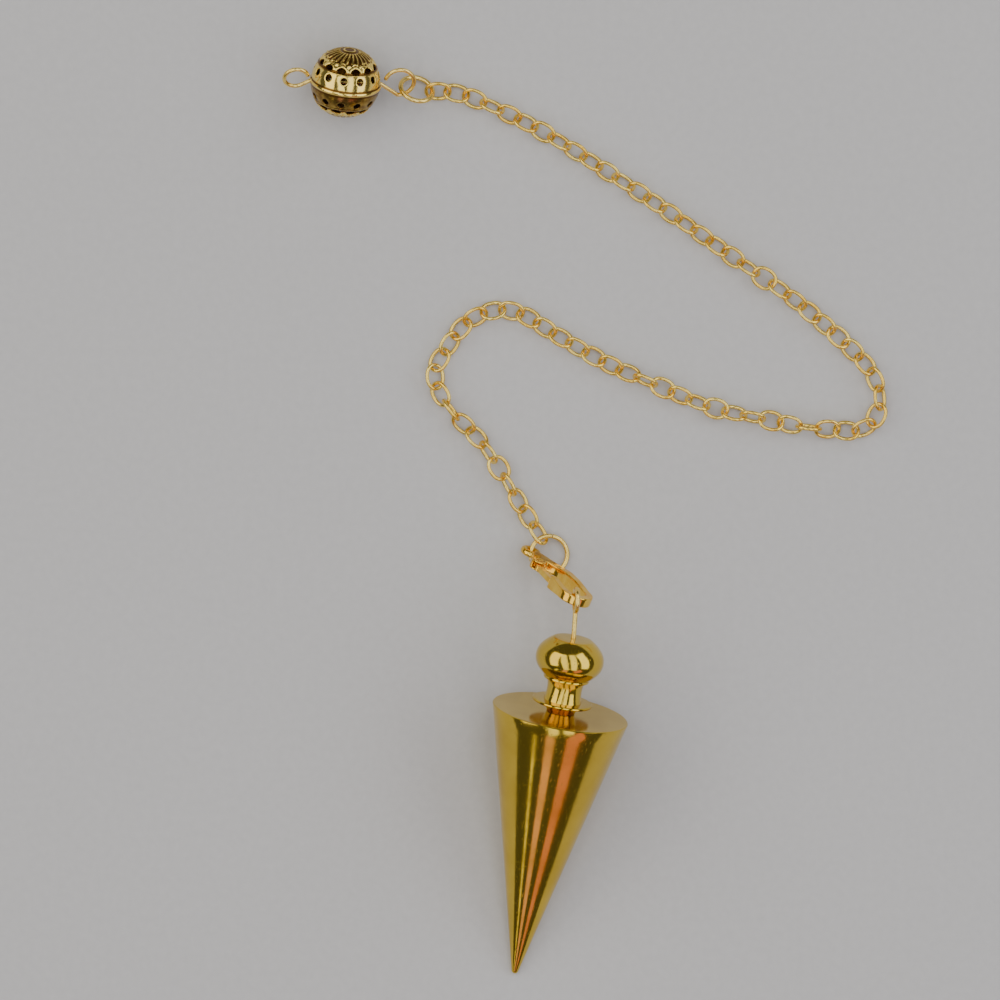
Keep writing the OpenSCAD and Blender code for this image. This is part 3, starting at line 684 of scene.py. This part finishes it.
# %% Note where the metal stands proud, and where the seam's band gets painted light
def note_own_place(target, seat):
    """Writes each point's place in the piece's own millimetres."""
    co = np.zeros(len(target.data.vertices) * 3, np.float32)
    target.data.vertices.foreach_get("co", co)
    world = co.reshape(-1, 3) / MM - np.array(seat[0])
    own = world @ np.array(seat[1:], float).T
    note = target.data.attributes.new("own_mm", "FLOAT_VECTOR", "POINT")
    note.data.foreach_set("vector", own.astype(np.float32).ravel())
    return own


def ramp(value, start, over):
    return np.clip((value - start) / over, 0, 1)


own = note_own_place(ball, POLE_SEAT)
far_out = np.linalg.norm(own, axis=1)
up = np.degrees(np.arcsin(np.clip(np.abs(own[:, 2]) / far_out, 0, 1)))
wear_and_painted_light = ramp(far_out, BALL_R + 0.02, 0.1)
# The plain band beside the seam is bright too, but not inside its holes. Its upper half is
# painted bright and its lower half painted dark, as painted light and shade of the two sides
plain_band = (1 - ramp(up, 30, 2)) * ramp(far_out, BALL_R - 0.14, 0.1)
beside_seam = ramp(up, 5, 2)
painted_half_light = np.where(own[:, 2] > 0, 0.8, 0.3)
# The attribute holds the rubbed ribs together with the band's painted light and shade
wear_and_painted_light = np.maximum(wear_and_painted_light, painted_half_light * plain_band * beside_seam)
note = ball.data.attributes.new("wear_and_painted_light", "FLOAT", "POINT")
note.data.foreach_set("value", wear_and_painted_light.astype(np.float32))
print("share of the ball that stands proud", round(float((wear_and_painted_light > 0.5).mean()), 2))

# %% [markdown]
# ## The lobster clasp
# The clasp is a small casting, and its edges are soft all over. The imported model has
# the exact outline, the slot and the pin's hole, so its mesh is remeshed finely and then
# smoothed. Beveling every edge would give the same look, but fails where the slot meets
# the rounded cheeks.

# %% Soften the clasp's castings
def softened_copy(solid, name, grain_mm, soften):
    made = bpy.data.objects.new(name, frame["nodes"][solid].data.copy())
    bpy.context.scene.collection.objects.link(made)
    cast_together(made, [], grain_mm, soften)
    note_own_place(made, CLASP)
    return made


clasp_body = softened_copy("clasp_body", "clasp_cast", grain_mm=0.06, soften=40)
clasp_gate = softened_copy("clasp_gate", "gate_cast", grain_mm=0.045, soften=5)
PIN_AT, PIN_R, PIN_HALF, PIN_BEVEL = (4, 1.15, 0), 0.3, 0.7, 0.04
pin_outline = [(0.0, -PIN_HALF), (PIN_R - PIN_BEVEL, -PIN_HALF),
               (PIN_R, PIN_BEVEL - PIN_HALF), (PIN_R, PIN_HALF - PIN_BEVEL),
               (PIN_R - PIN_BEVEL, PIN_HALF), (0.0, PIN_HALF)]
PIN_SEAT = (laid([PIN_AT], CLASP)[0], *CLASP[1:])
clasp_pin = piece("gate_pin", *turned(pin_outline, 32), PIN_SEAT)
keep_edges_crisp(clasp_pin, 30)


# %% [markdown]
# ## Finishes
# All of it is brass, but not one brass: the turned bob is a greener yellow and nearly a
# mirror, the drawn wire is paler, and the pierced ball is darkened in its hollows. What
# the polished finishes share are short scratches and the faint clouding that fingers
# leave, so those two are node groups, built once and given other values in each finish.

# %% Small helpers for node trees
def node(tree, kind, **values):
    made = tree.nodes.new(kind)
    for key, value in values.items():
        setattr(made, key, value)
    return made


def link(tree, source, target):
    tree.links.new(source, target)


def new_group(name, inputs, outputs):
    tree = bpy.data.node_groups.new(name, "ShaderNodeTree")
    for label, kind, value in inputs:
        socket = tree.interface.new_socket(label, in_out="INPUT", socket_type=kind)
        if value is not None:
            socket.default_value = value
    for label, kind in outputs:
        tree.interface.new_socket(label, in_out="OUTPUT", socket_type=kind)
    return tree, tree.nodes.new("NodeGroupInput"), tree.nodes.new("NodeGroupOutput")


# %% [markdown]
# Handling leaves short straight scratches that go every way, and a few tiny pits. Both come
# from the points of a Voronoi pattern: a cell that is stretched to many times its width
# turns its point into a thin streak, and an even cell keeps it round. The edges between
# cells look like scratches too, but they meet at corners, as real ones don't.

# %% Scratches and pits
FLOAT, VECTOR, COLOUR = "NodeSocketFloat", "NodeSocketVector", "NodeSocketColor"
marks, take, give = new_group(
    "marks",
    [("Place", VECTOR, None), ("Per mm", FLOAT, 1.0), ("Thin", FLOAT, 0.1)],
    [("Mask", FLOAT)])
STREAK, PIT = (24.0, 0.34, 0.34), (0.8, 0.8, 0.8)
found = None
for turn_deg, tip_deg, cell in ((15, 70, STREAK), (-40, 100, STREAK), (60, 35, STREAK),
                                (100, 80, STREAK), (0, 0, PIT)):
    stretched = node(marks, "ShaderNodeMapping", vector_type="TEXTURE")
    stretched.inputs["Rotation"].default_value = (0.2, math.radians(tip_deg),
                                                  math.radians(turn_deg))
    stretched.inputs["Scale"].default_value = cell
    link(marks, take.outputs["Place"], stretched.inputs["Vector"])
    cells = node(marks, "ShaderNodeTexVoronoi", feature="F1")
    link(marks, stretched.outputs["Vector"], cells.inputs["Vector"])
    link(marks, take.outputs["Per mm"], cells.inputs["Scale"])
    deep = node(marks, "ShaderNodeMapRange")
    link(marks, cells.outputs["Distance"], deep.inputs["Value"])
    link(marks, take.outputs["Thin"], deep.inputs["From Min"])
    deep.inputs["From Max"].default_value = 0.0
    if found is None:
        found = deep.outputs["Result"]
    else:
        more = node(marks, "ShaderNodeMath", operation="MAXIMUM")
        link(marks, found, more.inputs[0])
        link(marks, deep.outputs["Result"], more.inputs[1])
        found = more.outputs[0]
link(marks, found, give.inputs["Mask"])
print("marks has", len(marks.nodes), "nodes")

# %% [markdown]
# Fingers leave brass slightly cloudy. The clouding is a soft noise that moves the colour
# a little towards a duller tone and makes the metal a little less sharp.

# %% Clouding
clouding, take, give = new_group(
    "clouding",
    [("Place", VECTOR, None), ("Per mm", FLOAT, 0.2), ("Bright", COLOUR, (1, 1, 1, 1)),
     ("Dull", COLOUR, (1, 1, 1, 1)), ("Sharp", FLOAT, 0.1), ("Hazy", FLOAT, 0.2)],
    [("Color", COLOUR), ("Roughness", FLOAT), ("Height", FLOAT)])
cloud = node(clouding, "ShaderNodeTexNoise")
cloud.inputs["Detail"].default_value = 6.0
cloud.inputs["Roughness"].default_value = 0.6
link(clouding, take.outputs["Place"], cloud.inputs["Vector"])
link(clouding, take.outputs["Per mm"], cloud.inputs["Scale"])
even = node(clouding, "ShaderNodeMapRange")
even.inputs["From Min"].default_value = 0.35
even.inputs["From Max"].default_value = 0.7
link(clouding, cloud.outputs["Fac"], even.inputs["Value"])
tone = node(clouding, "ShaderNodeMix", data_type="RGBA")
link(clouding, even.outputs["Result"], tone.inputs["Factor"])
link(clouding, take.outputs["Bright"], tone.inputs["A"])
link(clouding, take.outputs["Dull"], tone.inputs["B"])
haze = node(clouding, "ShaderNodeMix", data_type="FLOAT")
link(clouding, even.outputs["Result"], haze.inputs["Factor"])
link(clouding, take.outputs["Sharp"], haze.inputs["A"])
link(clouding, take.outputs["Hazy"], haze.inputs["B"])
link(clouding, tone.outputs["Result"], give.inputs["Color"])
link(clouding, haze.outputs["Result"], give.inputs["Roughness"])
link(clouding, even.outputs["Result"], give.inputs["Height"])
print("clouding has", len(clouding.nodes), "nodes")


# %% [markdown]
# ## One recipe for polished brass
# The recipe reads own_mm, sends it through the clouding and the marks, lets the
# scratches show as rougher lines, and presses both into the surface with one very
# shallow Bump.

# %% Polished brass
# What a scratch adds to the roughness, and its height next to that of the clouding
SCRATCH_ROUGH, SCRATCH_HEIGHT = 0.2, -0.6


def new_finish(name, metallic):
    made = bpy.data.materials.new(name)
    made.use_nodes = True
    shader = made.node_tree.nodes["Principled BSDF"]
    shader.inputs["Metallic"].default_value = metallic
    return made, made.node_tree, shader


def own_place(tree):
    return node(tree, "ShaderNodeAttribute", attribute_name="own_mm").outputs["Vector"]


def press(tree, shader, height, depth):
    # The height goes into the shader's normal; depth is in millimetres
    bump = node(tree, "ShaderNodeBump")
    bump.inputs["Strength"].default_value = 1.0
    bump.inputs["Distance"].default_value = depth * MM
    link(tree, height, bump.inputs["Height"])
    link(tree, bump.outputs["Normal"], shader.inputs["Normal"])


def polished(name, bright, dull, sharp, hazy, cloud_per_mm, marks_per_mm, thin, depth,
             lines_on=None):
    made, tree, shader = new_finish(name, 1.0)
    place = own_place(tree)
    clouds = node(tree, "ShaderNodeGroup", node_tree=clouding)
    link(tree, place, clouds.inputs["Place"])
    for label, value in (("Per mm", cloud_per_mm), ("Bright", (*bright, 1)),
                         ("Dull", (*dull, 1)), ("Sharp", sharp), ("Hazy", hazy)):
        clouds.inputs[label].default_value = value
    scratches = node(tree, "ShaderNodeGroup", node_tree=marks)
    link(tree, place, scratches.inputs["Place"])
    for label, value in (("Per mm", marks_per_mm), ("Thin", thin)):
        scratches.inputs[label].default_value = value
    rougher = node(tree, "ShaderNodeMath", operation="MULTIPLY_ADD")
    link(tree, scratches.outputs["Mask"], rougher.inputs[0])
    rougher.inputs[1].default_value = SCRATCH_ROUGH
    link(tree, clouds.outputs["Roughness"], rougher.inputs[2])
    link(tree, rougher.outputs[0], shader.inputs["Roughness"])
    link(tree, clouds.outputs["Color"], shader.inputs["Base Color"])
    pressed = node(tree, "ShaderNodeMath", operation="MULTIPLY_ADD")
    link(tree, scratches.outputs["Mask"], pressed.inputs[0])
    pressed.inputs[1].default_value = SCRATCH_HEIGHT
    link(tree, clouds.outputs["Height"], pressed.inputs[2])
    height = pressed.outputs[0]
    if lines_on:
        height = lines_on(tree, place, height)
    press(tree, shader, height, depth)
    print("finish", name)
    return made


# %% [markdown]
# Lathe work keeps faint rings from the tool. Their height depends only on how far along
# the axis a point is, and how far out, so a noise that is fed with those two numbers
# gives rings and nothing else.

# %% Rings left by the tool
def tool_rings(per_mm, amount):
    def add(tree, place, height):
        split = node(tree, "ShaderNodeSeparateXYZ")
        link(tree, place, split.inputs[0])
        out = node(tree, "ShaderNodeVectorMath", operation="MULTIPLY")
        out.inputs[1].default_value = (1, 1, 0)
        link(tree, place, out.inputs[0])
        radius = node(tree, "ShaderNodeVectorMath", operation="LENGTH")
        link(tree, out.outputs[0], radius.inputs[0])
        pair = node(tree, "ShaderNodeCombineXYZ")
        link(tree, radius.outputs["Value"], pair.inputs["X"])
        link(tree, split.outputs["Z"], pair.inputs["Y"])
        rings = node(tree, "ShaderNodeTexNoise")
        rings.inputs["Scale"].default_value = per_mm
        rings.inputs["Detail"].default_value = 2.0
        link(tree, pair.outputs[0], rings.inputs["Vector"])
        total = node(tree, "ShaderNodeMath", operation="MULTIPLY_ADD")
        link(tree, rings.outputs["Fac"], total.inputs[0])
        total.inputs[1].default_value = amount
        link(tree, height, total.inputs[2])
        return total.outputs[0]
    return add


bob_brass = polished(
    "turned_brass", (0.76, 0.53, 0.07), (0.60, 0.40, 0.04), sharp=0.10, hazy=0.18,
    cloud_per_mm=0.12, marks_per_mm=1.0, thin=0.12, depth=0.012,
    lines_on=tool_rings(per_mm=6.0, amount=0.08))
# The wires are the least sharp of the four, because a sharper wire mirrors the dark gap
# between the overhead lights as a row of ticks
wire_brass = polished(
    "drawn_wire", (1.0, 0.76, 0.24), (0.92, 0.62, 0.12), sharp=0.22, hazy=0.30,
    cloud_per_mm=0.9, marks_per_mm=0.5, thin=0.03, depth=0.001)
chain_brass = polished(
    "chain_wire", (1.0, 0.76, 0.20), (0.92, 0.56, 0.06), sharp=0.18, hazy=0.26,
    cloud_per_mm=0.35, marks_per_mm=0.5, thin=0.03, depth=0.001)
clasp_brass = polished(
    "cast_clasp", (1.0, 0.68, 0.12), (0.84, 0.44, 0.03), sharp=0.09, hazy=0.18,
    cloud_per_mm=0.6, marks_per_mm=1.0, thin=0.06, depth=0.003)

# %% [markdown]
# ## Darkened brass
# The pierced ball was darkened and then rubbed bright again. The cloth reaches the ribs and
# the seam but not the hollows, so a point attribute mixes a bright, smooth tone with a dark,
# rough one, and a noise breaks up the border between the two. On the plain band beside the
# seam that attribute also carries painted light: a painted highlight on the upper half and
# painted shade on the lower half.

# %% Antique finish for the ball
# The dark tone is the darkening in the hollows and, on the lower half of the seam's band,
# painted shade; the bright tone is rubbed brass and, on the band's upper half, a painted
# highlight
DARK_BRASS, RUBBED_AND_LIT_BRASS = (0.16, 0.075, 0.015, 1), (1.0, 0.74, 0.18, 1)
ROUGH_IN_HOLLOWS, ROUGH_ON_RIBS = 0.28, 0.12
antique, tree, shader = new_finish("antique_filigree", 1.0)
place = own_place(tree)
rubbed_and_lit = node(tree, "ShaderNodeAttribute", attribute_name="wear_and_painted_light")
patchy = node(tree, "ShaderNodeTexNoise")
patchy.inputs["Scale"].default_value = 1.6
patchy.inputs["Detail"].default_value = 5.0
link(tree, place, patchy.inputs["Vector"])
border = node(tree, "ShaderNodeMath", operation="MULTIPLY_ADD")
link(tree, patchy.outputs["Fac"], border.inputs[0])
border.inputs[1].default_value = 0.5
link(tree, rubbed_and_lit.outputs["Fac"], border.inputs[2])
worn_and_lit = node(tree, "ShaderNodeMapRange")
worn_and_lit.inputs["From Min"].default_value = 0.45
worn_and_lit.inputs["From Max"].default_value = 1.0
link(tree, border.outputs[0], worn_and_lit.inputs["Value"])
tone = node(tree, "ShaderNodeMix", data_type="RGBA")
tone.inputs["A"].default_value = DARK_BRASS
tone.inputs["B"].default_value = RUBBED_AND_LIT_BRASS
link(tree, worn_and_lit.outputs["Result"], tone.inputs["Factor"])
link(tree, tone.outputs["Result"], shader.inputs["Base Color"])
gloss = node(tree, "ShaderNodeMapRange")
gloss.inputs["To Min"].default_value = ROUGH_IN_HOLLOWS
gloss.inputs["To Max"].default_value = ROUGH_ON_RIBS
link(tree, worn_and_lit.outputs["Result"], gloss.inputs["Value"])
link(tree, gloss.outputs["Result"], shader.inputs["Roughness"])
press(tree, shader, patchy.outputs["Fac"], 0.02)
print("finish antique_filigree")


# %% [markdown]
# ## Each piece joins the model
# A made piece rides on the body that carries it, takes its finish, and hides the model's
# solid that it stands for. Only the gate has a body of its own.

# %% Dress and place the pieces
def dress(made, stands_for, finish, body="pendulum"):
    made.data.materials.clear()
    made.data.materials.append(finish)
    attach(made, body)
    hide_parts(stands_for)


dress(cone, "cone_bob", bob_brass)
dress(head, "bob_head", bob_brass)
dress(eye, "bob_eye", wire_brass)
dress(clasp_body, "clasp_body", clasp_brass)
dress(clasp_gate, "clasp_gate", clasp_brass, body="gate")
dress(clasp_pin, "clasp_pin", clasp_brass)
dress(clasp_ring, "clasp_ring", wire_brass)
dress(chain, "chain", chain_brass)
dress(ball_ring, "ball_ring", wire_brass)
dress(loops, "ball_loops", wire_brass)
dress(ball, "filigree_ball", antique)
for name in ("pendulum", "gate"):
    carried = [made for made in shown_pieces() if made.parent is frame["bodies"][name]]
    print(name, "carries", len(carried), "pieces")

# %% [markdown]
# ## The table and the light
# Polished metal shows its surroundings more than itself, so the lights are placed for
# what the brass will mirror. The camera looks straight down. From there the cone mirrors
# what stands low in front of it: three small soft boxes give its coloured bands, and the
# gaps between them its dark ones. Two long panels hang overhead about a quarter of a
# metre apart, and that gap is the dark stripe on the ball of the head.

# %% Floor
FLOOR_HALF = 1.5
floor_mesh = bpy.data.meshes.new("table_top")
floor_mesh.from_pydata([(x * FLOOR_HALF, y * FLOOR_HALF, 0)
                        for x, y in ((-1, -1), (1, -1), (1, 1), (-1, 1))], [], [[0, 1, 2, 3]])
floor = bpy.data.objects.new("table_top", floor_mesh)
bpy.context.scene.collection.objects.link(floor)
pale_table, tree, shader = new_finish("pale_table", 0.0)
shader.inputs["Roughness"].default_value = 0.8
fleck = node(tree, "ShaderNodeTexNoise")
fleck.inputs["Scale"].default_value = 900.0
fleck.inputs["Detail"].default_value = 3.0
spot = node(tree, "ShaderNodeTexCoord")
link(tree, spot.outputs["Object"], fleck.inputs["Vector"])
pale = node(tree, "ShaderNodeMix", data_type="RGBA")
pale.inputs["A"].default_value = (0.50, 0.50, 0.51, 1)
pale.inputs["B"].default_value = (0.57, 0.57, 0.58, 1)
link(tree, fleck.outputs["Fac"], pale.inputs["Factor"])
link(tree, pale.outputs["Result"], shader.inputs["Base Color"])
floor.data.materials.append(pale_table)
print("the floor is", 2 * FLOOR_HALF, "m wide")


# %% Lights
def soft_box(name, round_deg, up_deg, far, width, height, bright, colour=(1, 1, 1)):
    """A panel that faces the piece; round_deg is counted from the front, to the right."""
    a, b = math.radians(round_deg), math.radians(up_deg)
    at = Vector((math.sin(a) * math.cos(b), -math.cos(a) * math.cos(b), math.sin(b))) * far
    data = bpy.data.lights.new(name, "AREA")
    data.shape = "RECTANGLE"
    data.size, data.size_y = width, height
    data.energy = bright * math.pi * width * height
    data.color = colour
    made = bpy.data.objects.new(name, data)
    made.location = at
    made.rotation_mode = "QUATERNION"
    made.rotation_quaternion = (-at).to_track_quat("-Z", "Y")
    bpy.context.scene.collection.objects.link(made)
    print("light", name)


# Degrees round and up, metres away, width and height in metres, brightness and colour
soft_box("overhead_left", -90, 74, 1.3, 2.8, 0.5, 1.6)
soft_box("overhead_right", 90, 74, 1.3, 2.8, 0.5, 1.6)
soft_box("left", -106, 38, 1.2, 1.9, 0.7, 1.9, (1.0, 0.93, 0.78))
soft_box("right", 100, 36, 1.2, 2.0, 0.65, 1.9)
# The cone mirrors what stands low in front of it
soft_box("front_right", 24, 29, 1.1, 0.50, 0.3, 0.85, (1.0, 0.32, 0.55))
soft_box("front_left", -19, 30, 1.1, 0.26, 0.3, 0.95, (1.0, 0.5, 0.8))
soft_box("low_left", -42, 17, 1.1, 0.12, 0.3, 1.1, (1.0, 0.9, 0.5))
world = bpy.data.worlds.new("room")
bpy.context.scene.world = world
world.use_nodes = True
world.node_tree.nodes["Background"].inputs["Color"].default_value = (0.95, 0.97, 1.0, 1)
world.node_tree.nodes["Background"].inputs["Strength"].default_value = 0.10

# %% [markdown]
# ## The camera
# The photograph was taken from straight above and from well back, so nothing leans. A
# long lens two metres up gives the same flat view, 142.9 mm wide on the table.

# %% Camera
PIXELS_PER_MM, PHOTO_WIDE, SENSOR = 7, 1000, 36.0
# Where the route's zero is in the photograph, in pixels from the left and from the top
ZERO_LEFT, ZERO_DOWN = 584, 508.5
FAR, WIDE = 2.0, PHOTO_WIDE / PIXELS_PER_MM * MM
camera_data = bpy.data.cameras.new("camera")
camera_data.sensor_width = SENSOR
camera_data.lens = SENSOR * FAR / WIDE
camera_data.clip_end = 10.0
camera = bpy.data.objects.new("camera", camera_data)
camera.location = (((PHOTO_WIDE / 2 - ZERO_LEFT) / PIXELS_PER_MM + SHIFT[0]) * MM,
                   ((ZERO_DOWN - PHOTO_WIDE / 2) / PIXELS_PER_MM + SHIFT[1]) * MM, FAR)
bpy.context.scene.collection.objects.link(camera)
bpy.context.scene.camera = camera
print("lens", round(camera_data.lens), "mm")
